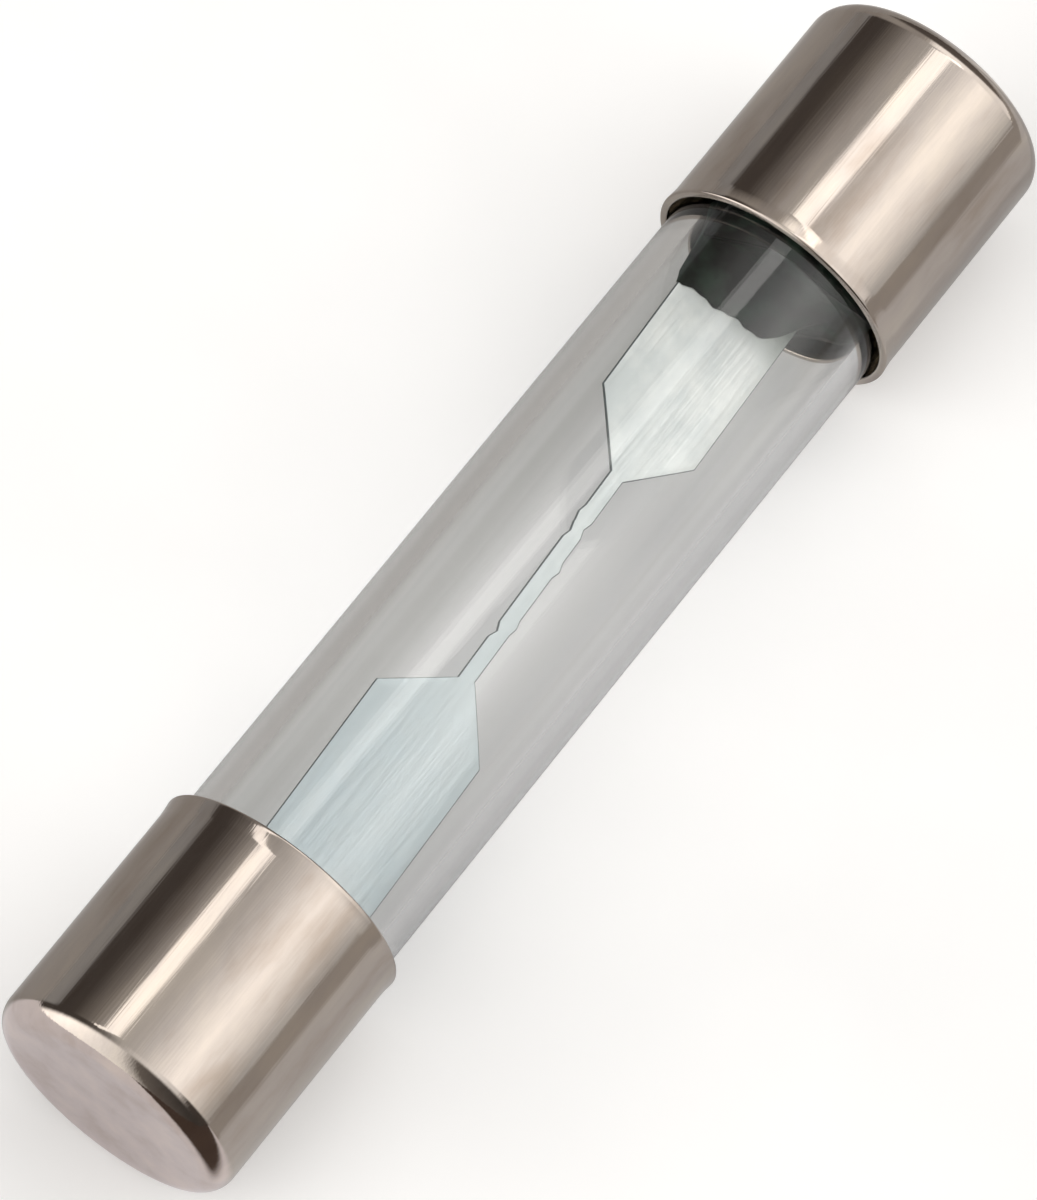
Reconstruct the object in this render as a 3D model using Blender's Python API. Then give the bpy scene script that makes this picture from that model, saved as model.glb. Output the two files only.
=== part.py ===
"""Cartridge fuse: a glass tube with a drawn metal cap on each end, and a stamped
fuse strip soldered between the caps inside it.

Units are metres. The origin is the centre of the fuse, +X runs along it towards
the far cap, and +Z is up. The fuse lies on the rolled lips of its caps.
"""
import math

import bmesh
import bpy

MM = 0.001

# Whole fuse
FUSE_LENGTH = 31.75 * MM  # over the two end faces
FACETS = 64  # round every turned piece, lined up so that nested walls never cross
CLEARANCE = 0.015 * MM  # between pieces that touch on the real fuse
MERGE = 0.0001 * MM
CREASE = math.radians(35.0)  # edges sharper than this are shaded sharp

# End caps, deep drawn from sheet
CAP_DIAMETER = 6.35 * MM
CAP_LENGTH = 6.48 * MM
CAP_WALL = 0.20 * MM
CAP_CORNER = 0.60 * MM  # outside radius between the side and the end face
CORNER_STEPS = 8
LIP_FLARE = 0.045 * MM  # how far the mouth spreads beyond the side
LIP_LENGTH = 0.42 * MM
LIP_STEPS = 5
LIP_EDGE = 0.05 * MM  # rounding of the cut edge at the mouth

# Glass tube
TUBE_DIAMETER = 5.78 * MM
TUBE_BORE = 4.70 * MM
TUBE_LENGTH = 30.20 * MM
TUBE_EDGE = 0.12 * MM  # fire-polished end edges

# Cement between tube and cap
CEMENT_START = 0.90 * MM  # set back from the mouth of the cap
CEMENT_LENGTH = 4.10 * MM

# Fuse strip, stamped from sheet. P runs along the strip, Q across it.
STRIP_THICKNESS = 0.12 * MM
STRIP_HALF_LENGTH = 14.90 * MM
NEAR_TAB_HALF_WIDTH = 1.58 * MM
FAR_TAB_HALF_WIDTH = 1.48 * MM
# The near tab's shoulder, the two ends of the neck and the far tab's shoulder, on the left side and on the right
SHOULDERS = {
    -1: (-4.15 * MM, -2.90 * MM, 3.30 * MM, 4.77 * MM),
    1: (-4.30 * MM, -2.75 * MM, 3.25 * MM, 4.65 * MM),
}
NECK_HALF_WIDTH = 0.20 * MM
NECK_OFFSET = 0.075 * MM  # the neck isn't quite on the strip's middle
STRIP_SHIFT = 0.015 * MM
STRIP_LEAN = math.radians(2.5)  # the strip runs a little askew in the tube
STRIP_ROLL = math.radians(26.0)  # turned about the tube's axis
STRIP_TWIST = math.radians(6.0)  # more roll at the far tab, taken up by the neck
TWIST_START = -2.75 * MM
TWIST_END = 3.30 * MM
TAB_STATIONS = 6
NECK_STATIONS = 12
# Small stamping marks on the neck: place along it, side (-1 or 1), size outwards
NECK_MARKS = (
    (2.05 * MM, -1, 0.050 * MM),
    (1.55 * MM, -1, -0.060 * MM),
    (1.75 * MM, 1, -0.070 * MM),
    (0.58 * MM, 1, 0.070 * MM),
    (-1.45 * MM, -1, -0.090 * MM),
    (-1.15 * MM, 1, 0.050 * MM),
)
MARK_REACH = 0.22 * MM

# Solder joints
FAR_SOLDER_FACE = 9.38 * MM  # from the fuse's centre
NEAR_SOLDER_FACE = 12.60 * MM
SOLDER_FOOT_RADIUS = 2.82 * MM  # spreads under the end of the tube
SOLDER_FOOT_CHAMFER = 0.35 * MM
SOLDER_RINGS = 12
CLIMB_ON_STRIP = 1.32 * MM  # how far the solder wets the strip
CLIMB_WIDTH = 0.60 * MM
WETTED_HALF_WIDTH = 1.20 * MM
WETTED_SHIFT = -0.25 * MM  # it wets the strip's left side further than its right
CLIMB_ON_GLASS = 0.16 * MM
FACE_SLOPE = 0.12  # the free face leans, further out on the left
GAP_START = -2.00 * MM  # left of the strip it has shrunk away from the glass
GAP_END = -2.22 * MM
GAP_DEPTH = 1.30 * MM
LOBE_HEIGHT = 0.10 * MM
LOBE_COUNT = 5
LOBE_START = 1.0
SLOT_CLEARANCE = 0.02 * MM

HALF_LENGTH = FUSE_LENGTH / 2
CAP_RADIUS = CAP_DIAMETER / 2
CAP_BORE_RADIUS = CAP_RADIUS - CAP_WALL
TUBE_RADIUS = TUBE_DIAMETER / 2
BORE_RADIUS = TUBE_BORE / 2
TUBE_END = TUBE_LENGTH / 2
MOUTH = HALF_LENGTH - CAP_LENGTH

# Colour, metallic and roughness of each finish
FINISHES = {
    "clear_glass": ((0.80, 0.82, 0.82), 0.0, 0.03),
    "nickel_plated_brass": ((0.62, 0.55, 0.50), 1.0, 0.16),
    "zinc_strip": ((0.74, 0.78, 0.78), 1.0, 0.38),
    "solder": ((0.09, 0.11, 0.10), 0.6, 0.45),
    "cement": ((0.55, 0.50, 0.42), 0.0, 0.70),
}


def clear_scene():
    for scene_object in list(bpy.data.objects):
        bpy.data.objects.remove(scene_object, do_unlink=True)


def finish(name):
    """Return the named finish as a material, made the first time it is asked for."""
    material = bpy.data.materials.get(name)
    if material:
        return material
    color, metallic, roughness = FINISHES[name]
    material = bpy.data.materials.new(name)
    material.use_nodes = True
    shader = material.node_tree.nodes["Principled BSDF"]
    shader.inputs["Base Color"].default_value = (*color, 1.0)
    shader.inputs["Metallic"].default_value = metallic
    shader.inputs["Roughness"].default_value = roughness
    if name == "clear_glass":
        shader.inputs["Transmission Weight"].default_value = 1.0
        shader.inputs["IOR"].default_value = 1.52
    return material


def add_object(name, mesh_data, finish_name, smooth=True):
    """Turn a bmesh into a scene object with outward normals and its finish."""
    bmesh.ops.recalc_face_normals(mesh_data, faces=mesh_data.faces)
    mesh = bpy.data.meshes.new(name)
    mesh_data.to_mesh(mesh)
    mesh_data.free()
    mesh.materials.append(finish(finish_name))
    if smooth:
        mesh.shade_smooth()
        mesh.set_sharp_from_angle(angle=CREASE)
    scene_object = bpy.data.objects.new(name, mesh)
    bpy.context.collection.objects.link(scene_object)
    return scene_object


def arc(center, radius, start, end, steps):
    """Points on an arc in the (x, radius) plane, both ends included."""
    points = []
    for step in range(steps + 1):
        angle = start + (end - start) * step / steps
        points.append((center[0] + radius * math.cos(angle), center[1] + radius * math.sin(angle)))
    return points


def turned(profile, closed):
    """Spin a profile of (x, radius) points about the X axis."""
    mesh_data = bmesh.new()
    points = [mesh_data.verts.new((x, 0.0, radius)) for x, radius in profile]
    pairs = list(zip(points, points[1:]))
    if closed:
        pairs.append((points[-1], points[0]))
    edges = [mesh_data.edges.new(pair) for pair in pairs]
    bmesh.ops.spin(
        mesh_data,
        geom=points + edges,
        cent=(0.0, 0.0, 0.0),
        axis=(1.0, 0.0, 0.0),
        angle=2 * math.pi,
        steps=FACETS,
        use_duplicate=False,
    )
    bmesh.ops.remove_doubles(mesh_data, verts=mesh_data.verts, dist=MERGE)
    return mesh_data


def cap_profile():
    """Section of a drawn cup, from the middle of its outer end face to the middle of its floor."""
    outer_corner = (HALF_LENGTH - CAP_CORNER, CAP_RADIUS - CAP_CORNER)
    inner_corner_radius = CAP_CORNER - CAP_WALL
    profile = [(HALF_LENGTH, 0.0)]
    profile += arc(outer_corner, CAP_CORNER, 0.0, math.pi / 2, CORNER_STEPS)
    outer_lip = []
    inner_lip = []
    for step in range(LIP_STEPS + 1):
        share = step / LIP_STEPS
        x = MOUTH + LIP_LENGTH * (1 - share)
        flare = LIP_FLARE * share**2
        outer_lip.append((x, CAP_RADIUS + flare))
        inner_lip.append((x, CAP_BORE_RADIUS + flare))
    outer_lip[-1] = (MOUTH + LIP_EDGE, outer_lip[-1][1])
    inner_lip[-1] = (MOUTH + LIP_EDGE, inner_lip[-1][1])
    lip_middle = [
        (MOUTH, outer_lip[-1][1] - LIP_EDGE),
        (MOUTH, inner_lip[-1][1] + LIP_EDGE),
    ]
    profile += outer_lip + lip_middle + inner_lip[::-1]
    profile += arc(outer_corner, inner_corner_radius, math.pi / 2, 0.0, CORNER_STEPS)
    profile.append((HALF_LENGTH - CAP_WALL, 0.0))
    return profile


def mirrored(profile):
    return [(-x, radius) for x, radius in profile]


def build_caps():
    add_object("end_cap_far", turned(cap_profile(), closed=False), "nickel_plated_brass")
    add_object("end_cap_near", turned(mirrored(cap_profile()), closed=False), "nickel_plated_brass")


def build_tube():
    """Thick-walled glass tube with its four end edges rounded."""
    profile = []
    for side in (1, -1):
        end = side * TUBE_END
        end_profile = [
            (end - side * TUBE_EDGE, TUBE_RADIUS),
            (end, TUBE_RADIUS - TUBE_EDGE),
            (end, BORE_RADIUS + TUBE_EDGE),
            (end - side * TUBE_EDGE, BORE_RADIUS),
        ]
        profile += end_profile if side == 1 else end_profile[::-1]
    add_object("glass_tube", turned(profile, closed=True), "clear_glass")


def build_cement():
    """Thin sleeve of cement that holds each cap on the tube."""
    start = MOUTH + CEMENT_START
    end = start + CEMENT_LENGTH
    inner = TUBE_RADIUS + CLEARANCE
    outer = CAP_BORE_RADIUS - CLEARANCE
    profile = [(start, inner), (start, outer), (end, outer), (end, inner)]
    add_object("cement_ring_far", turned(profile, closed=True), "cement")
    add_object("cement_ring_near", turned(mirrored(profile), closed=True), "cement")


def strip_roll(p):
    """Roll of the strip about the tube's axis at the distance p along it."""
    share = (p - TWIST_START) / (TWIST_END - TWIST_START)
    return STRIP_ROLL + STRIP_TWIST * (min(max(share, 0.0), 1.0) - 0.5)


def strip_point(p, q, height):
    """World place of a point of the strip: p along it, q across it, height off its mid-plane."""
    x = p * math.cos(STRIP_LEAN) + q * math.sin(STRIP_LEAN)
    across = q * math.cos(STRIP_LEAN) - p * math.sin(STRIP_LEAN) + STRIP_SHIFT
    roll = strip_roll(p)
    y = -across * math.cos(roll) - height * math.sin(roll)
    z = -across * math.sin(roll) + height * math.cos(roll)
    return x, y, z


def strip_edge(p, side):
    """Place across the strip of its left (-1) or right (1) edge, at the distance p along it."""
    near_shoulder, neck_start, neck_end, far_shoulder = SHOULDERS[side]
    reach = side * NECK_OFFSET + NECK_HALF_WIDTH
    for place, mark_side, size in NECK_MARKS:
        if mark_side == side:
            reach += size * max(0.0, 1.0 - abs(p - place) / MARK_REACH)
    if p < neck_start:
        share = min(1.0, (neck_start - p) / (neck_start - near_shoulder))
        reach += (NEAR_TAB_HALF_WIDTH - reach) * share
    if p > neck_end:
        share = min(1.0, (p - neck_end) / (far_shoulder - neck_end))
        reach += (FAR_TAB_HALF_WIDTH - reach) * share
    return side * reach


def strip_stations():
    """Places along the strip, each with its left and right edge."""
    first_shoulder = SHOULDERS[1][0]
    last_shoulder = SHOULDERS[-1][3]
    neck_start = SHOULDERS[1][1]
    neck_end = SHOULDERS[1][2]
    places = {*SHOULDERS[-1], *SHOULDERS[1]}
    for step in range(TAB_STATIONS):
        share = step / TAB_STATIONS
        places.add(-STRIP_HALF_LENGTH + (STRIP_HALF_LENGTH + first_shoulder) * share)
        places.add(STRIP_HALF_LENGTH - (STRIP_HALF_LENGTH - last_shoulder) * share)
    for step in range(1, NECK_STATIONS):
        places.add(neck_start + (neck_end - neck_start) * step / NECK_STATIONS)
    for place, _, _ in NECK_MARKS:
        places |= {place - MARK_REACH, place, place + MARK_REACH}
    return [(p, strip_edge(p, -1), strip_edge(p, 1)) for p in sorted(places)]


def strip_mesh(spare):
    """The strip as a closed mesh, grown by spare on every side."""
    mesh_data = bmesh.new()
    half = STRIP_THICKNESS / 2 + spare
    stations = strip_stations()
    if spare:
        stations = [(p, left - spare, right + spare) for p, left, right in stations]
        first, last = stations[0], stations[-1]
        stations[0] = (first[0] - spare, first[1], first[2])
        stations[-1] = (last[0] + spare, last[1], last[2])
    rings = []
    for p, left, right in stations:
        corners = ((left, half), (right, half), (right, -half), (left, -half))
        rings.append([mesh_data.verts.new(strip_point(p, q, height)) for q, height in corners])
    for ring, following in zip(rings, rings[1:]):
        for corner in range(4):
            neighbour = (corner + 1) % 4
            mesh_data.faces.new((ring[corner], ring[neighbour], following[neighbour], following[corner]))
    mesh_data.faces.new(rings[0])
    mesh_data.faces.new(rings[-1])
    return mesh_data


def build_strip():
    add_object("fuse_element", strip_mesh(0.0), "zinc_strip", smooth=False)


def solder_face(side, face, radius, angle):
    """Distance of the solder's free surface from the fuse's centre, at a polar place."""
    y = radius * math.cos(angle)
    z = radius * math.sin(angle)
    roll = strip_roll(side * face)
    across = -y * math.cos(roll) - z * math.sin(roll)
    height = -y * math.sin(roll) + z * math.cos(roll)
    middle = STRIP_SHIFT - side * face * math.sin(STRIP_LEAN) + WETTED_SHIFT
    beyond = max(0.0, abs(across - middle) - WETTED_HALF_WIDTH)
    off_strip = math.hypot(height, beyond) / CLIMB_WIDTH
    climb = CLIMB_ON_STRIP * math.exp(-(off_strip**2))
    wall = CLIMB_ON_GLASS * (radius / BORE_RADIUS) ** 6
    lobes = LOBE_HEIGHT * math.cos(LOBE_COUNT * angle + LOBE_START) * (radius / BORE_RADIUS) ** 2
    gap = min(1.0, max(0.0, (across - GAP_START) / (GAP_END - GAP_START))) * GAP_DEPTH
    return side * (face + FACE_SLOPE * across + gap - max(climb, wall) - lobes)


def build_solder(name, side, face):
    """A plug of solder in the end of the tube, with a foot under the tube and a slot for the strip."""
    plug_radius = BORE_RADIUS - CLEARANCE
    back = HALF_LENGTH - CAP_WALL - CLEARANCE
    foot = TUBE_END + CLEARANCE
    mesh_data = bmesh.new()
    angles = [2 * math.pi * step / FACETS for step in range(FACETS)]
    rings = []
    for ring in range(1, SOLDER_RINGS + 1):
        radius = plug_radius * ring / SOLDER_RINGS
        rings.append([(solder_face(side, face, radius, angle), radius) for angle in angles])
    rings.append([(side * foot, plug_radius)] * FACETS)
    rings.append([(side * foot, SOLDER_FOOT_RADIUS)] * FACETS)
    rings.append([(side * (back - SOLDER_FOOT_CHAMFER), SOLDER_FOOT_RADIUS)] * FACETS)
    rings.append([(side * back, SOLDER_FOOT_RADIUS - SOLDER_FOOT_CHAMFER)] * FACETS)
    loops = []
    for ring in rings:
        loop = []
        for (x, radius), angle in zip(ring, angles):
            loop.append(mesh_data.verts.new((x, radius * math.cos(angle), radius * math.sin(angle))))
        loops.append(loop)
    for loop, following in zip(loops, loops[1:]):
        for step in range(FACETS):
            after = (step + 1) % FACETS
            mesh_data.faces.new((loop[step], loop[after], following[after], following[step]))
    middle = mesh_data.verts.new((solder_face(side, face, 0.0, 0.0), 0.0, 0.0))
    for step in range(FACETS):
        mesh_data.faces.new((middle, loops[0][(step + 1) % FACETS], loops[0][step]))
    mesh_data.faces.new(loops[-1])
    plug = add_object(name, mesh_data, "solder")
    slot = add_object(name + "_slot_cutter", strip_mesh(SLOT_CLEARANCE), "solder")
    slot.hide_render = True
    slot.display_type = "WIRE"
    cut = plug.modifiers.new("strip_slot", "BOOLEAN")
    cut.operation = "DIFFERENCE"
    cut.solver = "EXACT"
    cut.object = slot


def main():
    clear_scene()
    build_caps()
    build_tube()
    build_cement()
    build_strip()
    build_solder("solder_joint_far", 1, FAR_SOLDER_FACE)
    build_solder("solder_joint_near", -1, NEAR_SOLDER_FACE)


main()
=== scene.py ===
import math

import bmesh
import bpy
from mathutils import Matrix, Vector


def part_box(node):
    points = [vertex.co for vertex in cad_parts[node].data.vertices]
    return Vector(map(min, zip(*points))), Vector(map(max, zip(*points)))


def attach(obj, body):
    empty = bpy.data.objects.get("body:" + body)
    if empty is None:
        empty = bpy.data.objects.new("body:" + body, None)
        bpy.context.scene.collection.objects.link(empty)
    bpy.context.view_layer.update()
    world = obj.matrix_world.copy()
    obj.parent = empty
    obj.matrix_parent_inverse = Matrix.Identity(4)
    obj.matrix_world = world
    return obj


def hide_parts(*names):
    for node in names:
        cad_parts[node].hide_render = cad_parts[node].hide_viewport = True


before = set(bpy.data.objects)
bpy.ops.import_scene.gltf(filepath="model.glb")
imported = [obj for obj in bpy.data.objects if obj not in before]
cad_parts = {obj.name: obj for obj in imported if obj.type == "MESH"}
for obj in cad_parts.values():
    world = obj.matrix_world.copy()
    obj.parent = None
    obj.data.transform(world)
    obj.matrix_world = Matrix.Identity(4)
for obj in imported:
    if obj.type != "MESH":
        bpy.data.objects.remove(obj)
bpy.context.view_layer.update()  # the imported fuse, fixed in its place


# small helpers used by every piece

def mm(length):
    return length / 1000


closeBy = mm(0.001)  # a point nearer than this to a level counts as on it
weldReach = mm(0.0001)  # points nearer than this to each other become one
sharpAngle = math.radians(50)  # edges that turn more than this get rounded


def deselectAll():
    for other in bpy.context.selected_objects:
        other.select_set(False)
    bpy.context.view_layer.objects.active = None


def report(stage):
    print("fuse:", stage)


# a hex colour as seen on screen, turned to the linear values that shaders take
def hexColour(code):
    linear = []
    for place in (1, 3, 5):
        seen = int(code[place:place + 2], 16) / 255
        linear.append(seen / 12.92 if seen <= 0.04045 else ((seen + 0.055) / 1.055) ** 2.4)
    return (*linear, 1.0)


# selects the vertices, edges or faces of the piece in edit mode whose corners all pass the test
def pick(piece, kind, wanted):
    bpy.ops.mesh.select_mode(type=kind)
    bpy.ops.mesh.select_all(action="DESELECT")
    mesh = bmesh.from_edit_mesh(piece.data)
    parts = {"VERT": mesh.verts, "EDGE": mesh.edges, "FACE": mesh.faces}[kind]
    for part in parts:
        corners = [part] if kind == "VERT" else part.verts
        if all(wanted(corner.co) for corner in corners):
            part.select_set(True)
    mesh.select_flush_mode()
    bmesh.update_edit_mesh(piece.data)


# moves vertices of the piece in edit mode to where the rule puts them
def shape(piece, rule):
    mesh = bmesh.from_edit_mesh(piece.data)
    for vertex in mesh.verts:
        vertex.co = rule(vertex.co)
    bmesh.update_edit_mesh(piece.data)


# pulls new faces out of the selected edges or faces
def extrude(kind, offset):
    move = {"value": offset}
    if kind == "EDGE":
        bpy.ops.mesh.extrude_edges_move(TRANSFORM_OT_translate=move)
    else:
        bpy.ops.mesh.extrude_region_move(TRANSFORM_OT_translate=move)


def resize(scale):
    bpy.ops.transform.resize(value=scale, center_override=(0, 0, 0))


def applyModifier(piece, kind, settings):
    modifier = piece.modifiers.new(kind.lower(), kind)
    for key, value in settings.items():
        setattr(modifier, key, value)
    bpy.ops.object.modifier_apply(modifier=modifier.name)


# lays a piece that was modelled upright along the fuse, its top towards that side (1 is the far end),
# and fixes its place in its mesh
def layDown(piece, side, middle):
    piece.rotation_euler = (0, side * math.pi / 2, 0)
    piece.location = (middle, 0, 0)
    bpy.ops.object.transform_apply(location=True, rotation=True, scale=True)


def solidify(piece, thickness, offset):
    applyModifier(piece, "SOLIDIFY", {"thickness": thickness, "offset": offset, "use_even_offset": True})


def roundEdges(piece, width, steps):
    applyModifier(piece, "BEVEL", {
        "width": width, "segments": steps, "limit_method": "ANGLE", "angle_limit": sharpAngle})


# merges what doubles the modifiers left in a finished shell, and turns its faces outwards
def tidyMesh(piece):
    bpy.ops.object.mode_set(mode="EDIT")
    bpy.ops.mesh.select_all(action="SELECT")
    bpy.ops.mesh.remove_doubles(threshold=weldReach)
    bpy.ops.mesh.normals_make_consistent(inside=False)
    bpy.ops.object.mode_set(mode="OBJECT")


# smooth shading, up to an angle in degrees: the long faces stay true and only the small roundings turn
def shadeTrue(piece, angle=40):
    bpy.ops.object.shade_smooth_by_angle(angle=math.radians(angle))
    applyModifier(piece, "WEIGHTED_NORMAL", {"keep_sharp": True, "weight": 80})


# names the finished piece, gives it its finish, hangs it from the root and hides the node of the frame it
# stands in for
def handOver(piece, name, node, material):
    piece.name = name
    piece.data.name = name
    piece.data.materials.clear()
    piece.data.materials.append(material)
    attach(piece, "root")
    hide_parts(node)
    report(name + " done")


# adds a node with its settings, which are its own properties or its unlinked sockets, and its links
def addNode(tree, kind, settings=None, links=None):
    node = tree.nodes.new(kind)
    for key, value in (settings or {}).items():
        if isinstance(key, str) and hasattr(node, key):
            setattr(node, key, value)
        else:
            node.inputs[key].default_value = value
    for key, source in (links or {}).items():
        tree.links.new(source, node.inputs[key])
    return node


def setStops(ramp, stops):
    elements = ramp.color_ramp.elements
    while len(elements) < len(stops):
        elements.new(0.5)
    for element, (place, colour) in zip(elements, stops):
        element.position = place
        element.color = colour


def newMaterial(name):
    material = bpy.data.materials.new(name)
    material.use_nodes = True
    material.node_tree.nodes.clear()
    return material, material.node_tree


# sizes read from the frame

farLow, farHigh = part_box("end_cap_far")
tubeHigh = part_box("glass_tube")[1]
ringLow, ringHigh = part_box("cement_ring_far")
halfLength = farHigh.x  # from the middle of the fuse to its end face
mouthPlace = farLow.x  # to the open end of a cap
lipRadius = farHigh.z
tubeRadius = tubeHigh.z
tubeEnd = tubeHigh.x

# camera

camera = {
    "azimuth": -53.63,  # degrees, 0 looks along +Y
    "elevation": 64.78,
    "distance": mm(191.0),  # from the middle of the fuse
    "lens": 252.3,  # mm
    "sensorWidth": 36,  # mm
    "aimRight": mm(-0.285),  # the view's centre, off the middle of the fuse
    "aimUp": mm(-0.338),
    "nearest": mm(10),
    "furthest": mm(5000),
}


def placeCamera():
    azimuth = math.radians(camera["azimuth"])
    elevation = math.radians(camera["elevation"])
    back = Vector((
        math.sin(azimuth) * math.cos(elevation),
        -math.cos(azimuth) * math.cos(elevation),
        math.sin(elevation),
    ))
    turn = (-back).to_track_quat("-Z", "Y")
    right = turn @ Vector((1, 0, 0))
    up = turn @ Vector((0, 1, 0))
    data = bpy.data.cameras.new("studioCamera")
    data.lens = camera["lens"]
    data.sensor_width = camera["sensorWidth"]
    data.clip_start = camera["nearest"]
    data.clip_end = camera["furthest"]
    eye = bpy.data.objects.new("studioCamera", data)
    bpy.context.scene.collection.objects.link(eye)
    eye.rotation_mode = "QUATERNION"
    eye.rotation_quaternion = turn
    eye.location = back * camera["distance"] + right * camera["aimRight"] + up * camera["aimUp"]
    bpy.context.scene.camera = eye


placeCamera()
report("camera placed")

# studio: a pale floor under a soft sky of light panels and dark screens

studio = {
    "floorSize": mm(1200),
    "floorCells": 4,
    "floorColour": "#fbfbfb",
    "floorMottle": "#f6f6f6",
    "mottleSize": 11.1,  # mm
    "floorGlow": 0.22,  # the floor is lit a little from below, as on a light table
    # what the floor is to the metal and the glass, as if they lay on grey card
    "card": "#cdcdce",
    # its lighter and darker parts, painted light and painted shade for the metal and the glass to reflect
    # and show through: a colour, and the places along X and along Y between which it comes in
    "cardPatches": [
        # painted shade beside the fuse on its +Y side, deeper further out
        ("#bcbcbb", None, (mm(1.6), mm(3.6))),
        ("#a4a2a0", None, (mm(4.0), mm(8.0))),
        # painted light under the tube by the far cap, where the fuse shades the floor
        ("#e2e2e2", (mm(4.0), mm(8.0)), (mm(0.6), mm(-0.6))),
        # a darker band along the -Y side for the caps and the glass to reflect, back to plain card further
        # out
        ("#bcbcbd", (mm(-9.0), mm(-7.5)), (mm(-2.0), mm(-2.8))),
        ("#cdcdce", None, (mm(-5.4), mm(-6.4))),
        # darker again far out on the -Y side, for the near cap to reflect
        ("#a8a4a0", None, (mm(-14.0), mm(-18.0))),
        # painted light beyond the near end, where the cap shades the floor
        ("#efecf2", (mm(-14.5), mm(-16.0)), None),
        # a dark patch there, a painted dark reflection in the near cap
        ("#524640", (mm(-16.0), mm(-18.0)), (mm(-2.6), mm(-4.4))),
    ],
    # how bright the sky is round the fuse: degrees from straight up, towards -Y where positive
    "sky": [
        (-92, 0.45, "#e6e6e6"),
        (-75, 0.45, "#e6e6e6"),
        (-73, 0.11, "#e0d2c8"),
        (-56, 0.11, "#e0d2c8"),
        (-39, 0.31, "#e6dfd9"),
        (-24, 0.66, "#eae6e2"),
        (-8, 0.72, "#f0eeeb"),
        (3, 0.79, "#f4f2f0"),
        (15, 1.05, "#f6f5f3"),
        (46, 1.85, "#fffdfa"),
        (68, 1.40, "#f8f6f2"),
        (88, 0.80, "#ededeb"),
    ],
    # where another sky takes over, how bright it is from its -Y side to its +Y side, and the lean towards +X
    # at which it starts and at which it is full: first beyond the near end
    "endSky": [
        (-0.80, 0.10, "#e6dcd4"),
        (-0.20, 0.24, "#e6dcd4"),
        (0.05, 1.20, "#f6f5f3"),
        (0.80, 2.20, "#fffdfa"),
    ],
    "endReach": (-0.16, -0.42),
    # straight over the fuse, between the sky proper and the one beyond the near end
    "crossSky": [
        (-0.90, 0.12, "#e0d2c8"),
        (-0.80, 1.20, "#f6f5f3"),
        (-0.50, 1.50, "#f6f5f3"),
        (0.05, 0.80, "#f2f0ee"),
        (0.40, 0.30, "#e6dfd9"),
        (0.65, 0.11, "#e0d2c8"),
    ],
    "crossReach": (0.14, -0.02),
    # beyond the far end
    "farSky": [
        (-0.80, 1.30, "#fffdfa"),
        (-0.15, 1.70, "#fffdfa"),
        (0.10, 1.70, "#fffdfa"),
        (0.25, 0.60, "#e6e0da"),
        (0.80, 0.50, "#e6e0da"),
    ],
    "farReach": (0.47, 0.60),
    # and low down there
    "lowSky": [(-0.80, 0.30, "#e0d2c8"), (0.80, 0.10, "#e0d2c8")],
    "lowReach": (0.76, 0.86),
}


def buildFloor():
    deselectAll()
    bpy.ops.mesh.primitive_grid_add(
        x_subdivisions=studio["floorCells"], y_subdivisions=studio["floorCells"], size=studio["floorSize"],
        location=(0, 0, -lipRadius))
    floor = bpy.context.active_object
    floor.name = "studioFloor"
    bpy.ops.object.transform_apply(location=True, rotation=True, scale=True)
    # matt sweep paper, white round the fuse, with a faint mottle of its fibres
    material, tree = newMaterial("matt sweep paper")
    place = addNode(tree, "ShaderNodeTexCoord")
    fibres = addNode(
        tree, "ShaderNodeTexNoise", {"Scale": 1000 / studio["mottleSize"], "Detail": 3.0},
        {"Vector": place.outputs["Object"]})
    tone = addNode(tree, "ShaderNodeValToRGB", {}, {"Fac": fibres.outputs[0]})
    setStops(tone, [(0.35, hexColour(studio["floorMottle"])), (0.65, hexColour(studio["floorColour"]))])
    axes = addNode(tree, "ShaderNodeSeparateXYZ", {}, {0: place.outputs["Object"]})
    cardWithPaintedLightAndShade = None
    # the card's painted light and shade, one patch laid over the other
    for code, *reaches in studio["cardPatches"]:
        share = None
        for axis, reach in zip("XY", reaches):
            if reach is None:
                continue
            step = addNode(
                tree, "ShaderNodeMapRange",
                {"interpolation_type": "SMOOTHSTEP", "From Min": reach[0], "From Max": reach[1]},
                {"Value": axes.outputs[axis]}).outputs[0]
            if share is None:
                share = step
            else:
                share = addNode(
                    tree, "ShaderNodeMath", {"operation": "MULTIPLY"}, {0: share, 1: step}).outputs[0]
        patch = addNode(
            tree, "ShaderNodeMix", {"data_type": "RGBA", 6: hexColour(studio["card"]), 7: hexColour(code)},
            {0: share})
        if cardWithPaintedLightAndShade is not None:
            tree.links.new(cardWithPaintedLightAndShade, patch.inputs[6])
        cardWithPaintedLightAndShade = patch.outputs[2]
    # the camera sees the white paper; the metal and the glass see the card with its painted light and shade
    ray = addNode(tree, "ShaderNodeLightPath")
    seen = addNode(
        tree, "ShaderNodeMix", {"data_type": "RGBA"},
        {0: ray.outputs["Is Camera Ray"], 6: cardWithPaintedLightAndShade, 7: tone.outputs[0]}).outputs[2]
    matt = addNode(tree, "ShaderNodeBsdfDiffuse", {}, {"Color": seen})
    glow = addNode(tree, "ShaderNodeEmission", {"Strength": studio["floorGlow"]}, {"Color": seen})
    shader = addNode(tree, "ShaderNodeAddShader", {}, {0: matt.outputs[0], 1: glow.outputs[0]})
    addNode(tree, "ShaderNodeOutputMaterial", {}, {"Surface": shader.outputs[0]})
    floor.data.materials.append(material)


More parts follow.
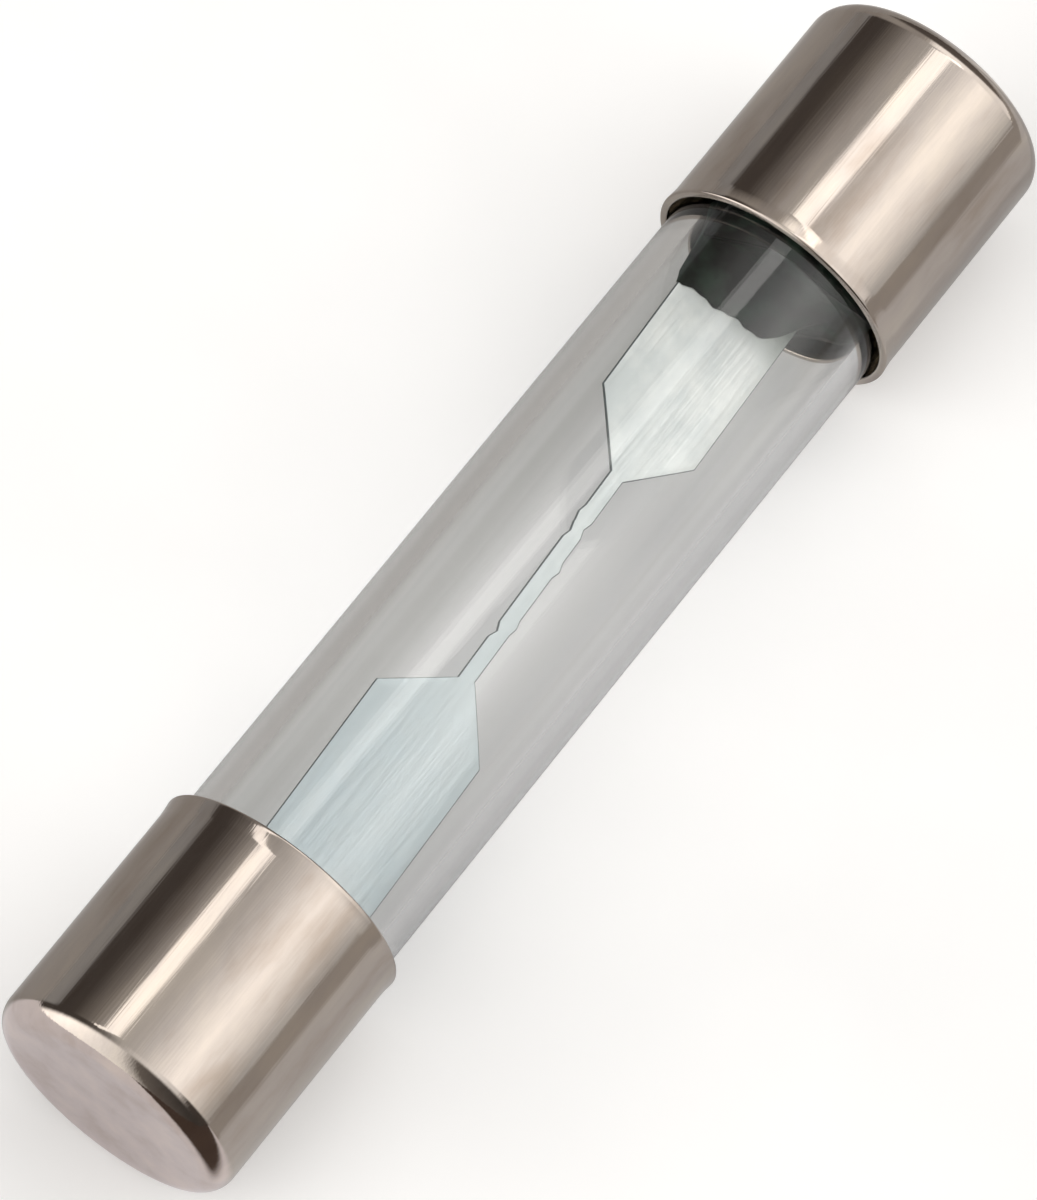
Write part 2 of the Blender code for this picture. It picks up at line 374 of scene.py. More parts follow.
# a colour ramp of light levels, as shares of the brightest one
# toShare turns the place of a level to its place on the ramp
def lightRamp(tree, source, levels, toShare, brightest):
    bands = addNode(tree, "ShaderNodeValToRGB", {}, {"Fac": source})
    stops = []
    for place, level, code in levels:
        tint = hexColour(code)
        share = level / brightest
        stops.append((toShare(place), (tint[0] * share, tint[1] * share, tint[2] * share, 1.0)))
    setStops(bands, stops)
    return bands.outputs[0]


def buildSky():
    world = bpy.data.worlds.new("studioSky")
    bpy.context.scene.world = world
    world.use_nodes = True
    tree = world.node_tree
    tree.nodes.clear()
    levels = studio["sky"] + studio["crossSky"] + studio["endSky"] + studio["farSky"] + studio["lowSky"]
    brightest = max(level for _, level, _ in levels)
    place = addNode(tree, "ShaderNodeTexCoord")
    axes = addNode(tree, "ShaderNodeSeparateXYZ", {}, {0: place.outputs["Generated"]})
    towards = addNode(tree, "ShaderNodeMath", {"operation": "MULTIPLY", 1: -1.0}, {0: axes.outputs["Y"]})
    angle = addNode(
        tree, "ShaderNodeMath", {"operation": "ARCTAN2"}, {0: towards.outputs[0], 1: axes.outputs["Z"]})
    turnShare = addNode(
        tree, "ShaderNodeMath", {"operation": "MULTIPLY_ADD", 1: 1 / (2 * math.pi), 2: 0.5},
        {0: angle.outputs[0]})
    sky = lightRamp(
        tree, turnShare.outputs[0], studio["sky"], lambda degrees: degrees / 360 + 0.5, brightest)
    sideShare = addNode(
        tree, "ShaderNodeMath", {"operation": "MULTIPLY_ADD", 1: 0.5, 2: 0.5}, {0: axes.outputs["Y"]})
    # towards each end of the fuse the sky changes
    for part in ("cross", "end", "far", "low"):
        start, full = studio[part + "Reach"]
        beyond = lightRamp(
            tree, sideShare.outputs[0], studio[part + "Sky"], lambda lean: lean / 2 + 0.5, brightest)
        share = addNode(
            tree, "ShaderNodeMapRange",
            {"interpolation_type": "SMOOTHSTEP", "From Min": start, "From Max": full},
            {"Value": axes.outputs["X"]})
        sky = addNode(
            tree, "ShaderNodeMix", {"data_type": "RGBA"},
            {0: share.outputs[0], 6: sky, 7: beyond}).outputs[2]
    light = addNode(tree, "ShaderNodeBackground", {"Strength": brightest}, {"Color": sky})
    addNode(tree, "ShaderNodeOutputWorld", {}, {"Surface": light.outputs[0]})


# a narrow light panel overhead, which draws the bright line along each cap
stripLight = {
    "middle": (mm(75), mm(30), mm(200)),
    "along": (0.64, -0.77, 0),  # the way its long side runs
    "length": mm(260),
    "width": mm(36),
    "brightness": 1.42,
    "colour": "#fffdfa",
}


def addPanel(name, spec):
    data = bpy.data.lights.new(name, "AREA")
    data.shape = "RECTANGLE"
    data.size = spec["length"]
    data.size_y = spec["width"]
    data.energy = spec["brightness"] * math.pi * spec["length"] * spec["width"]
    data.color = hexColour(spec["colour"])[:3]
    panel = bpy.data.objects.new(name, data)
    bpy.context.scene.collection.objects.link(panel)
    middle = Vector(spec["middle"])
    back = middle.normalized()  # it faces the middle of the fuse
    along = Vector(spec["along"])
    along = (along - back * along.dot(back)).normalized()
    turn = Matrix((along, back.cross(along), back)).transposed()
    panel.matrix_world = Matrix.Translation(middle) @ turn.to_4x4()
    panel.visible_camera = False


buildFloor()
buildSky()
addPanel("stripLight", stripLight)
report("studio built")

# finishes

noiseSpan = {"From Min": 0.3, "From Max": 0.7}  # most of a noise lies between these


# object coordinates in whole patterns: the size of one pattern in mm along the fuse and across it
def patternPlace(tree, along, across):
    place = addNode(tree, "ShaderNodeTexCoord")
    scale = (1000 / along, 1000 / across, 1000 / across)
    laid = addNode(tree, "ShaderNodeMapping", {"Scale": scale}, {"Vector": place.outputs["Object"]})
    return laid.outputs[0]


nickel = {
    "warm": "#c5baaf",
    "cool": "#bbb1a9",
    "stain": "#ab9d91",  # where the brass tinges the plating
    "stops": (0.28, 0.48, 0.64),  # where in the mottle the stain, the cool and the warm tone lie
    "mottleLength": 4.0,  # mm along the cap
    "mottleWidth": 1.3,
    "lineLength": 2.5,  # mm along the cap
    "lineWidth": 0.05,  # mm across it, coarser than real draw lines so that they show
    "roughness": (0.07, 0.13),
    "relief": (0.25, mm(0.006)),  # how strong and how deep
}


# nickel-plated brass, drawn and barrel polished: a warm grey mirror, softened by fine lines along the draw
def makeNickel():
    material, tree = newMaterial("nickel-plated brass")
    mottle = addNode(
        tree, "ShaderNodeTexNoise", {"Scale": 1.0, "Detail": 4.0, "Roughness": 0.6},
        {"Vector": patternPlace(tree, nickel["mottleLength"], nickel["mottleWidth"])})
    tone = addNode(tree, "ShaderNodeValToRGB", {}, {"Fac": mottle.outputs[0]})
    tones = [hexColour(nickel[name]) for name in ("stain", "cool", "warm")]
    setStops(tone, list(zip(nickel["stops"], tones)))
    lines = addNode(
        tree, "ShaderNodeTexNoise", {"Scale": 1.0, "Detail": 2.0},
        {"Vector": patternPlace(tree, nickel["lineLength"], nickel["lineWidth"])})
    low, high = nickel["roughness"]
    gloss = addNode(
        tree, "ShaderNodeMapRange", {**noiseSpan, "To Min": low, "To Max": high},
        {"Value": lines.outputs[0]})
    strength, depth = nickel["relief"]
    relief = addNode(
        tree, "ShaderNodeBump", {"Strength": strength, "Distance": depth}, {"Height": lines.outputs[0]})
    shader = addNode(
        tree, "ShaderNodeBsdfPrincipled", {"Metallic": 1.0},
        {"Base Color": tone.outputs[0], "Roughness": gloss.outputs[0], "Normal": relief.outputs[0]})
    addNode(tree, "ShaderNodeOutputMaterial", {}, {"Surface": shader.outputs[0]})
    return material


glass = {
    "clear": "#ffffff",
    "streak": "#fafbfa",
    "stops": (0.3, 0.7),  # where in the pattern the streak and the clear tone lie
    "streakLength": 12.0,  # mm along the tube
    "streakWidth": 0.35,
    "ior": 1.52,
    "passed": "#f8f8f8",  # how much of a lamp's light one surface lets through
}


# soda-lime glass, drawn as tube: clear, with faint streaks along the draw
def makeGlass():
    material, tree = newMaterial("soda-lime glass")
    streaks = addNode(
        tree, "ShaderNodeTexNoise", {"Scale": 1.0, "Detail": 2.0},
        {"Vector": patternPlace(tree, glass["streakLength"], glass["streakWidth"])})
    tone = addNode(tree, "ShaderNodeValToRGB", {}, {"Fac": streaks.outputs[0]})
    setStops(tone, list(zip(glass["stops"], (hexColour(glass["streak"]), hexColour(glass["clear"])))))
    shader = addNode(
        tree, "ShaderNodeBsdfPrincipled",
        {"Transmission Weight": 1.0, "IOR": glass["ior"], "Roughness": 0.0},
        {"Base Color": tone.outputs[0]})
    # light from the lamps goes straight through the wall, so that it reaches the strip and the floor
    ray = addNode(tree, "ShaderNodeLightPath")
    passing = addNode(
        tree, "ShaderNodeMath", {"operation": "MAXIMUM"},
        {0: ray.outputs["Is Shadow Ray"], 1: ray.outputs["Is Diffuse Ray"]})
    through = addNode(tree, "ShaderNodeBsdfTransparent", {"Color": hexColour(glass["passed"])})
    mixed = addNode(
        tree, "ShaderNodeMixShader", {},
        {0: passing.outputs[0], 1: shader.outputs[0], 2: through.outputs[0]})
    addNode(tree, "ShaderNodeOutputMaterial", {}, {"Surface": mixed.outputs[0]})
    return material


zinc = {
    "nearShadedTone": "#c7d4d9",  # painted light: the near tab darker and bluer and the far end paler, standing in for the different light the two tabs reflect
    "farLitTone": "#f2f6f4",
    "paintedLightReach": (mm(-6), mm(6)),  # along the fuse, from the full painted shade to none
    "dull": "#cdd6d8",
    "dullSpan": (0.62, 0.38),  # where in the blotches the dull tone starts and where it is full
    "dullShare": 0.5,
    "haze": "#98a29b",  # flux smoke on the strip, next to the far solder
    "hazeReach": (mm(7.75), mm(8.75)),
    "hazeDrift": mm(0.9),  # how unevenly it spreads
    # the sheared sides, painted dark: a painted reflection of the dark they face
    "shearedEdgeDarkReflection": "#5d6567",
    "blotchSize": 1.1,  # mm
    "lineLength": 2.0,  # mm along the strip
    "lineWidth": 0.04,  # mm across it, coarser than real rolling lines so that they show
    "metallic": 0.6,  # only partly metallic, so that some of its light is matt
    "roughness": (0.38, 0.55),
    "relief": (0.3, mm(0.01)),
}


# rolled zinc strip, stamped: a pale matt metal with rolling lines along it and dull blotches
def makeZinc():
    material, tree = newMaterial("rolled zinc")
    blotches = addNode(
        tree, "ShaderNodeTexNoise", {"Scale": 1.0, "Detail": 5.0, "Roughness": 0.65},
        {"Vector": patternPlace(tree, zinc["blotchSize"], zinc["blotchSize"])})
    place = addNode(tree, "ShaderNodeTexCoord")
    axes = addNode(tree, "ShaderNodeSeparateXYZ", {}, {0: place.outputs["Object"]})
    # painted light: the strip darkens and turns bluer towards its near end, standing in for the light the
    # two tabs reflect
    paintedLightStart, paintedLightEnd = zinc["paintedLightReach"]
    along = addNode(
        tree, "ShaderNodeMapRange", {"From Min": paintedLightStart, "From Max": paintedLightEnd},
        {"Value": axes.outputs["X"]})
    ends = {6: hexColour(zinc["nearShadedTone"]), 7: hexColour(zinc["farLitTone"])}
    sheet = addNode(tree, "ShaderNodeMix", {"data_type": "RGBA", **ends}, {0: along.outputs[0]})
    dullStart, dullFull = zinc["dullSpan"]
    dullness = addNode(
        tree, "ShaderNodeMapRange",
        {"From Min": dullStart, "From Max": dullFull, "To Max": zinc["dullShare"]},
        {"Value": blotches.outputs[0]})
    blotched = addNode(
        tree, "ShaderNodeMix", {"data_type": "RGBA", 7: hexColour(zinc["dull"])},
        {0: dullness.outputs[0], 6: sheet.outputs[2]})
    hazePlace = addNode(
        tree, "ShaderNodeMath", {"operation": "MULTIPLY_ADD", 1: zinc["hazeDrift"]},
        {0: blotches.outputs[0], 2: axes.outputs["X"]})
    # the middle of the noise stands for no drift
    hazeStart, hazeEnd = (reach + zinc["hazeDrift"] / 2 for reach in zinc["hazeReach"])
    hazeShare = addNode(
        tree, "ShaderNodeMapRange", {"From Min": hazeStart, "From Max": hazeEnd},
        {"Value": hazePlace.outputs[0]})
    hazed = addNode(
        tree, "ShaderNodeMix", {"data_type": "RGBA", 7: hexColour(zinc["haze"])},
        {0: hazeShare.outputs[0], 6: blotched.outputs[2]})
    # the sheared sides painted dark, a painted reflection
    sheared = addNode(tree, "ShaderNodeAttribute", {"attribute_name": "shearedEdgeDarkReflection"})
    tone = addNode(
        tree, "ShaderNodeMix", {"data_type": "RGBA", 7: hexColour(zinc["shearedEdgeDarkReflection"])},
        {0: sheared.outputs["Fac"], 6: hazed.outputs[2]})
    lines = addNode(
        tree, "ShaderNodeTexNoise", {"Scale": 1.0, "Detail": 2.0},
        {"Vector": patternPlace(tree, zinc["lineLength"], zinc["lineWidth"])})
    low, high = zinc["roughness"]
    gloss = addNode(
        tree, "ShaderNodeMapRange", {**noiseSpan, "To Min": low, "To Max": high},
        {"Value": lines.outputs[0]})
    strength, depth = zinc["relief"]
    relief = addNode(
        tree, "ShaderNodeBump", {"Strength": strength, "Distance": depth}, {"Height": lines.outputs[0]})
    shader = addNode(
        tree, "ShaderNodeBsdfPrincipled", {"Metallic": zinc["metallic"]},
        {"Base Color": tone.outputs[2], "Roughness": gloss.outputs[0], "Normal": relief.outputs[0]})
    addNode(tree, "ShaderNodeOutputMaterial", {}, {"Surface": shader.outputs[0]})
    return material


solder = {
    "flux": "#0c0f0d",
    "film": "#283a2f",
    "stops": (0.45, 0.75),  # where in the patches the flux and the film lie
    "patchSize": 0.7,  # mm
    "specular": 0.2,
    "roughness": (0.45, 0.7),
    "relief": (0.4, mm(0.05)),
}


# solder under burnt flux: a dark green-black glaze, thinner and paler in patches
def makeSolder():
    material, tree = newMaterial("solder with flux residue")
    patches = addNode(
        tree, "ShaderNodeTexNoise", {"Scale": 1.0, "Detail": 4.0},
        {"Vector": patternPlace(tree, solder["patchSize"], solder["patchSize"])})
    tone = addNode(tree, "ShaderNodeValToRGB", {}, {"Fac": patches.outputs[0]})
    setStops(tone, list(zip(solder["stops"], (hexColour(solder["flux"]), hexColour(solder["film"])))))
    low, high = solder["roughness"]
    gloss = addNode(
        tree, "ShaderNodeMapRange", {**noiseSpan, "To Min": low, "To Max": high},
        {"Value": patches.outputs[0]})
    strength, depth = solder["relief"]
    relief = addNode(
        tree, "ShaderNodeBump", {"Strength": strength, "Distance": depth}, {"Height": patches.outputs[0]})
    shader = addNode(
        tree, "ShaderNodeBsdfPrincipled", {"Specular IOR Level": solder["specular"]},
        {"Base Color": tone.outputs[0], "Roughness": gloss.outputs[0], "Normal": relief.outputs[0]})
    addNode(tree, "ShaderNodeOutputMaterial", {}, {"Surface": shader.outputs[0]})
    return material


cement = {
    "dark": "#a99b80",
    "pale": "#cfc3a8",
    "stops": (0.35, 0.65),  # where in the grain the dark and the pale tone lie
    "grainSize": 0.12,  # mm
    "roughness": 0.85,
    "relief": (0.5, mm(0.03)),
}


# dried mineral cement: chalky, with a fine grain
def makeCement():
    material, tree = newMaterial("dried cement")
    grain = addNode(
        tree, "ShaderNodeTexNoise", {"Scale": 1.0, "Detail": 5.0},
        {"Vector": patternPlace(tree, cement["grainSize"], cement["grainSize"])})
    tone = addNode(tree, "ShaderNodeValToRGB", {}, {"Fac": grain.outputs[0]})
    setStops(tone, list(zip(cement["stops"], (hexColour(cement["dark"]), hexColour(cement["pale"])))))
    strength, depth = cement["relief"]
    relief = addNode(
        tree, "ShaderNodeBump", {"Strength": strength, "Distance": depth}, {"Height": grain.outputs[0]})
    shader = addNode(
        tree, "ShaderNodeBsdfPrincipled", {"Roughness": cement["roughness"]},
        {"Base Color": tone.outputs[0], "Normal": relief.outputs[0]})
    addNode(tree, "ShaderNodeOutputMaterial", {}, {"Surface": shader.outputs[0]})
    return material


finishes = {
    "nickel": makeNickel(),
    "glass": makeGlass(),
    "zinc": makeZinc(),
    "solder": makeSolder(),
    "cement": makeCement(),
}
report("finishes mixed")

# end caps

cap = {
    "facets": 192,
    "wall": mm(0.20),
    "cornerRadius": mm(0.60),
    "cornerSteps": 14,
    "lipLength": mm(0.44),
    "lipFlare": mm(0.045),
    "lipSteps": 8,
    "lipCurve": 1.35,  # 1 is a straight flare, 2 one that starts without a kink
    "edgeRounding": mm(0.085),
    "edgeSteps": 5,
    # the end face sinks a little towards its middle: how far each ring is from the last, and how deep
    "dish": [(mm(0.20), mm(0.000)), (mm(0.35), mm(0.004)), (mm(0.60), mm(0.008)), (mm(0.80), mm(0.006))],
}


def modelCap(name, node, side):
    radius = lipRadius - cap["lipFlare"]
    length = halfLength - mouthPlace
    mouth = -length / 2  # the cup stands upright, its mouth down
    top = length / 2
    deselectAll()
    bpy.ops.mesh.primitive_cylinder_add(
        vertices=cap["facets"], radius=radius, depth=length, end_fill_type="NGON")
    cup = bpy.context.active_object
    bpy.ops.object.mode_set(mode="EDIT")
    pick(cup, "FACE", lambda place: place.z < mouth + closeBy)
    bpy.ops.mesh.delete(type="ONLY_FACE")
    # the drawn corner, and the shallow dish of the end face
    pick(cup, "EDGE", lambda place: place.z > top - closeBy)
    bpy.ops.mesh.bevel(offset=cap["cornerRadius"], segments=cap["cornerSteps"], affect="EDGES")
    pick(cup, "FACE", lambda place: place.z > top - closeBy)
    for distance, depth in cap["dish"]:
        bpy.ops.mesh.inset(thickness=distance, depth=-depth)
    # the mouth is drawn back, then pulled out again in steps that spread like a trumpet
    pick(cup, "VERT", lambda place: place.z < mouth + closeBy)
    bpy.ops.transform.translate(value=(0, 0, cap["lipLength"]))
    lipTop = mouth + cap["lipLength"]
    pick(cup, "EDGE", lambda place: place.z < lipTop + closeBy)
    lastRadius = radius
    for step in range(1, cap["lipSteps"] + 1):
        nextRadius = radius + cap["lipFlare"] * (step / cap["lipSteps"]) ** cap["lipCurve"]
        extrude("EDGE", (0, 0, -cap["lipLength"] / cap["lipSteps"]))
        spread = nextRadius / lastRadius
        resize((spread, spread, 1))
        lastRadius = nextRadius
    bpy.ops.object.mode_set(mode="OBJECT")
    solidify(cup, cap["wall"], -1)
    roundEdges(cup, cap["edgeRounding"], cap["edgeSteps"])
    layDown(cup, side, side * (halfLength - length / 2))
    tidyMesh(cup)
    shadeTrue(cup)
    handOver(cup, name, node, finishes["nickel"])


modelCap("nickelCapNear", "end_cap_near", -1)
modelCap("nickelCapFar", "end_cap_far", 1)

# glass tube

tube = {
    "facets": 224,
    "wall": mm(0.54),
    "endRounding": mm(0.14),
    "endSteps": 4,
}


def modelTube():
    deselectAll()
    bpy.ops.mesh.primitive_cylinder_add(
        vertices=tube["facets"], radius=tubeRadius, depth=2 * tubeEnd, end_fill_type="NOTHING")
    sleeve = bpy.context.active_object
    solidify(sleeve, tube["wall"], -1)
    roundEdges(sleeve, tube["endRounding"], tube["endSteps"])
    layDown(sleeve, 1, 0)
    tidyMesh(sleeve)
    shadeTrue(sleeve)
    handOver(sleeve, "drawnGlassTube", "glass_tube", finishes["glass"])


modelTube()

# fuse strip

strip = {
    "thickness": mm(0.12),
    "halfLength": mm(14.9),
    "nearTabHalfWidth": mm(1.58),
    "farTabHalfWidth": mm(1.48),
    # along each edge (1 is the left one, -1 the right one): where the near tab's shoulder starts, where the
    # neck starts and ends, and where the far tab's shoulder ends
    "shoulders": {
        1: (mm(-4.15), mm(-2.90), mm(3.30), mm(4.77)),
        -1: (mm(-4.30), mm(-2.75), mm(3.25), mm(4.65)),
    },
    "neckHalfWidth": mm(0.20),
    "neckOffset": mm(-0.075),  # across the strip, to the right
    "shift": mm(-0.015),  # of the whole strip, across it
    "lean": 2.5,  # degrees, along the tube
    "roll": 26.0,  # degrees, about the tube
    "twist": 6.0,  # degrees, from one tab to the other
    "twistStart": mm(-2.75),
    "twistEnd": mm(3.30),
    "cuts": 5,
    "edgeRounding": mm(0.022),
    "edgeSteps": 2,
    "flatNormal": 0.98,  # a face whose normal is less upright than this belongs to the sheared edge
    # stamping marks on the neck: place along it, edge (1 is the left one), size outwards
    "marks": [
        (mm(2.05), 1, mm(0.050)),
        (mm(1.55), 1, mm(-0.060)),
        (mm(1.75), -1, mm(-0.070)),
        (mm(0.58), -1, mm(0.070)),
        (mm(-1.45), 1, mm(-0.090)),
        (mm(-1.15), -1, mm(0.050)),
    ],
    "markReach": mm(0.22),
    "neckSteps": 18,
    "smoothUpTo": 30,  # degrees
}


# where one edge of the strip is, at a place along it
def stripEdge(place, edge):
    nearShoulder, neckStart, neckEnd, farShoulder = strip["shoulders"][edge]
    reach = edge * strip["neckOffset"] + strip["neckHalfWidth"]
    for markPlace, markEdge, size in strip["marks"]:
        if markEdge == edge:
            reach += size * max(0, 1 - abs(place - markPlace) / strip["markReach"])
    if place < neckStart:
        share = min(1, (neckStart - place) / (neckStart - nearShoulder))
        reach += (strip["nearTabHalfWidth"] - reach) * share
    if place > neckEnd:
        share = min(1, (place - neckEnd) / (farShoulder - neckEnd))
        reach += (strip["farTabHalfWidth"] - reach) * share
    return edge * reach


def modelStrip():
    end = strip["halfLength"]
    start = -end
    firstShoulder, neckStart, neckEnd = strip["shoulders"][-1][:3]
    lastShoulder = strip["shoulders"][1][3]
    steps = strip["neckSteps"]
    places = {neckStart + (neckEnd - neckStart) * step / steps for step in range(1, steps)}
    for markPlace, _, _ in strip["marks"]:
        places |= {markPlace - strip["markReach"], markPlace, markPlace + strip["markReach"]}
    places |= {*strip["shoulders"][1], *strip["shoulders"][-1]}
    places |= {(start + firstShoulder) / 2, (end + lastShoulder) / 2, end}
    stations = sorted(places)
    deselectAll()
    bpy.ops.mesh.primitive_plane_add(size=mm(1))
    blank = bpy.context.active_object
    bpy.ops.object.mode_set(mode="EDIT")

    # the first bit of sheet is put at the strip's near end, and its front is pulled out station by station
    def firstBit(place):
        along = start if place.x < 0 else stations[0]
        return Vector((along, stripEdge(start, 1 if place.y > 0 else -1), 0))

    shape(blank, firstBit)
    last = stations[0]
    for station in stations[1:]:
        here = last
        pick(blank, "EDGE", lambda place: place.x > here - closeBy)
        extrude("EDGE", (station - here, 0, 0))
        mesh = bmesh.from_edit_mesh(blank.data)
        for vertex in mesh.verts:
            if vertex.select:
                vertex.co.y = stripEdge(station, 1 if vertex.co.y > strip["neckOffset"] else -1)
        bmesh.update_edit_mesh(blank.data)
        last = station
    bpy.ops.mesh.select_all(action="SELECT")
    bpy.ops.mesh.normals_make_consistent(inside=False)
    bpy.ops.mesh.subdivide(number_cuts=strip["cuts"])
    shape(blank, lambda place: place + Vector((0, strip["shift"], 0)))
    bpy.ops.object.mode_set(mode="OBJECT")
    applyModifier(blank, "SOLIDIFY", {"thickness": strip["thickness"], "offset": 0})
    roundEdges(blank, strip["edgeRounding"], strip["edgeSteps"])
    # marks the sheared sides, which the material paints dark as a painted reflection
    sheared = blank.data.attributes.new("shearedEdgeDarkReflection", "FLOAT", "FACE")
    for face in blank.data.polygons:
        sheared.data[face.index].value = 1.0 if abs(face.normal.z) < strip["flatNormal"] else 0.0
    low = (strip["twistStart"] - start) / (end - start)
    high = (strip["twistEnd"] - start) / (end - start)
    applyModifier(blank, "SIMPLE_DEFORM", {
        "deform_method": "TWIST", "deform_axis": "X", "angle": math.radians(strip["twist"]),
        "limits": (low, high)})
    blank.rotation_mode = "ZYX"
    blank.rotation_euler = (math.radians(strip["roll"]), 0, math.radians(strip["lean"]))
    bpy.ops.object.transform_apply(location=True, rotation=True, scale=True)
    tidyMesh(blank)
    shadeTrue(blank, strip["smoothUpTo"])
    return blank


fuseStrip = modelStrip()
handOver(fuseStrip, "stampedFuseStrip", "fuse_element", finishes["zinc"])

# solder joints

joint = {
    "facets": 128,
    "rings": 18,
    "clearance": mm(0.015),
    "farFace": mm(9.38),  # from the middle of the fuse
    "nearFace": mm(12.60),
    "footRadius": mm(2.82),
    "footChamfer": mm(0.35),
    "footSteps": 3,
    "climbOnStrip": mm(1.27),
    "climbWidth": mm(0.60),
    "wettedHalfWidth": mm(1.20),
    "wettedShift": mm(-0.25),  # it wets the strip's left side further than its right
    # ripples of its edge on the strip: size, length and start
    "ripples": [(mm(0.040), mm(1.05), 0.0), (mm(0.022), mm(0.43), 1.0)],
    "climbOnGlass": mm(0.16),
    "glassCurve": 6,  # the higher, the closer to the glass it starts to climb
    "faceSlope": 0.20,  # the free face leans, further out on the left
    "gapStart": mm(-1.85),  # across the fuse: out on the left it has shrunk away from the glass
    "gapEnd": mm(-2.05),
    "gapDepth": mm(1.30),
    "gapRoll": 15.6,  # degrees about the tube, a little less than the strip's
    "lobeHeight": mm(0.10),
    "lobeCount": 5,  # round the glass
    "lobeStart": 1.0,
    "slotSpare": mm(0.02),
}


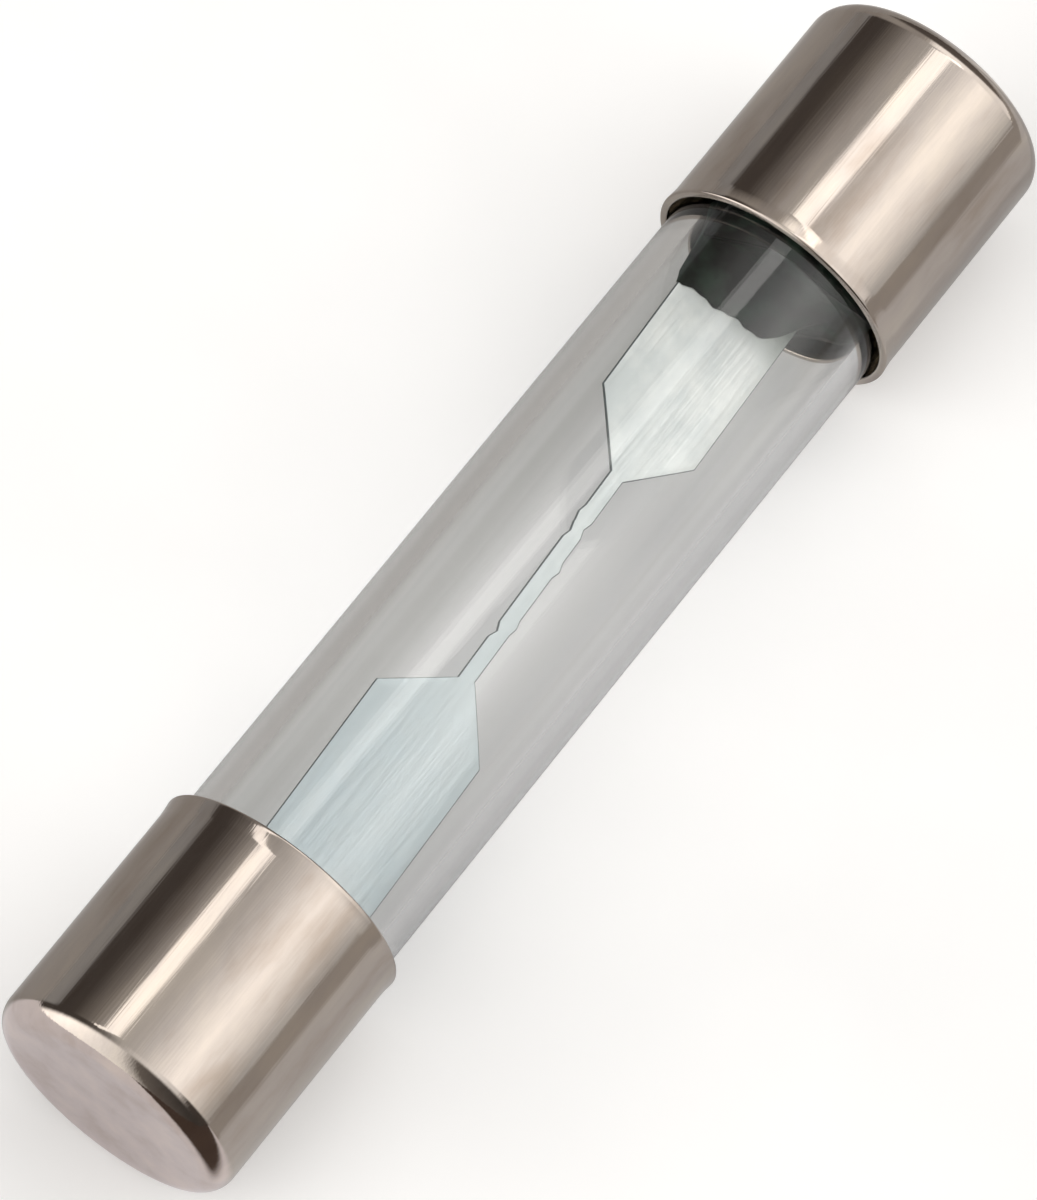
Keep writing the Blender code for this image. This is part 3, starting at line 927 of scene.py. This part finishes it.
def modelSolder(name, node, side, face):
    back = halfLength - cap["wall"] - joint["clearance"]
    plugEnd = tubeEnd + joint["clearance"]
    plugRadius = tubeRadius - tube["wall"] - joint["clearance"]
    depth = plugEnd - face
    top = depth / 2
    deselectAll()
    bpy.ops.mesh.primitive_cylinder_add(
        vertices=joint["facets"], radius=plugRadius, depth=depth, end_fill_type="NGON")
    plug = bpy.context.active_object
    bpy.ops.object.mode_set(mode="EDIT")
    # the foot, which spreads under the end of the tube
    pick(plug, "FACE", lambda place: place.z > top - closeBy)
    extrude("FACE", (0, 0, 0))
    spread = joint["footRadius"] / plugRadius
    resize((spread, spread, 1))
    extrude("FACE", (0, 0, back - plugEnd))
    footTop = top + back - plugEnd
    pick(plug, "EDGE", lambda place: place.z > footTop - closeBy)
    bpy.ops.mesh.bevel(offset=joint["footChamfer"], segments=joint["footSteps"], affect="EDGES")
    # rings on the free face, and in the little that they leave in its middle a pole
    pick(plug, "FACE", lambda place: place.z < -top + closeBy)
    for _ in range(joint["rings"]):
        bpy.ops.mesh.inset(thickness=plugRadius / (joint["rings"] + 0.5))
    bpy.ops.mesh.poke()
    roll = math.radians(strip["roll"] + side * strip["twist"] / 2)
    gapRoll = math.radians(joint["gapRoll"])
    middle = joint["wettedShift"] - strip["shift"] - side * face * math.sin(math.radians(strip["lean"]))

    # the solder climbs the strip and the glass, and its edge is lobed
    def wetted(place):
        if place.z > -top + closeBy:
            return place
        # where the point will lie once the plug is laid down, and from there across the strip and over it
        y = place.y
        z = -side * place.x
        across = -y * math.cos(roll) - z * math.sin(roll)
        height = -y * math.sin(roll) + z * math.cos(roll)
        beyond = max(0, abs(across - middle) - joint["wettedHalfWidth"])
        fromStrip = math.hypot(height, beyond) / joint["climbWidth"]
        climb = joint["climbOnStrip"]
        for size, length, start in joint["ripples"]:
            climb += size * math.sin(2 * math.pi * across / length + start)
        climb *= math.exp(-fromStrip ** 2)
        share = math.hypot(y, z) / plugRadius
        wall = joint["climbOnGlass"] * share ** joint["glassCurve"]
        lobes = math.cos(joint["lobeCount"] * math.atan2(z, y) + joint["lobeStart"])
        lobes *= joint["lobeHeight"] * share ** 2
        gapAcross = -y * math.cos(gapRoll) - z * math.sin(gapRoll)
        gapShare = (gapAcross - joint["gapStart"]) / (joint["gapEnd"] - joint["gapStart"])
        gap = joint["gapDepth"] * min(1, max(0, gapShare))
        return place + Vector((0, 0, joint["faceSlope"] * across + gap - max(climb, wall) - lobes))

    shape(plug, wetted)
    bpy.ops.object.mode_set(mode="OBJECT")
    layDown(plug, side, side * (face + depth / 2))
    tidyMesh(plug)
    # the strip's place is cut out of it with a slightly thicker copy
    cutter = fuseStrip.copy()
    cutter.data = fuseStrip.data.copy()
    bpy.context.scene.collection.objects.link(cutter)
    deselectAll()
    bpy.context.view_layer.objects.active = cutter
    cutter.select_set(True)
    applyModifier(cutter, "DISPLACE", {"strength": joint["slotSpare"], "mid_level": 0})
    deselectAll()
    bpy.context.view_layer.objects.active = plug
    plug.select_set(True)
    # in triangles, the plug is cut without leaving slivers
    applyModifier(plug, "TRIANGULATE", {"quad_method": "BEAUTY", "ngon_method": "BEAUTY"})
    applyModifier(plug, "BOOLEAN", {"operation": "DIFFERENCE", "solver": "EXACT", "object": cutter})
    bpy.data.objects.remove(cutter)
    shadeTrue(plug)
    handOver(plug, name, node, finishes["solder"])


modelSolder("solderJointFar", "solder_joint_far", 1, joint["farFace"])
modelSolder("solderJointNear", "solder_joint_near", -1, joint["nearFace"])

# cement rings

ring = {
    "facets": 160,
    "ragged": mm(0.18),  # how far its front edge wanders to each side
    "waves": [(7, 0.3), (11, 1.9), (23, 4.0)],  # how many round the ring, and where they start
}


def modelCement(name, node, side):
    length = ringHigh.x - ringLow.x
    inner = tubeRadius + joint["clearance"]
    thickness = ringHigh.z - inner
    middle = (ringHigh.x + ringLow.x) / 2
    deselectAll()
    bpy.ops.mesh.primitive_cylinder_add(
        vertices=ring["facets"], radius=inner, depth=length, end_fill_type="NOTHING")
    sleeve = bpy.context.active_object
    bpy.ops.object.mode_set(mode="EDIT")

    # the cement sets with an uneven front edge
    def ragged(place):
        if place.z > 0:
            return place
        angle = math.atan2(place.y, place.x)
        wave = sum(math.sin(count * angle + start) for count, start in ring["waves"]) / len(ring["waves"])
        return place + Vector((0, 0, ring["ragged"] * (1 + wave)))

    shape(sleeve, ragged)
    bpy.ops.object.mode_set(mode="OBJECT")
    solidify(sleeve, thickness, 1)
    layDown(sleeve, side, side * middle)
    tidyMesh(sleeve)
    shadeTrue(sleeve)
    handOver(sleeve, name, node, finishes["cement"])


modelCement("cementRingNear", "cement_ring_near", -1)
modelCement("cementRingFar", "cement_ring_far", 1)

# how the picture is developed

bpy.context.scene.view_settings.view_transform = "Standard"
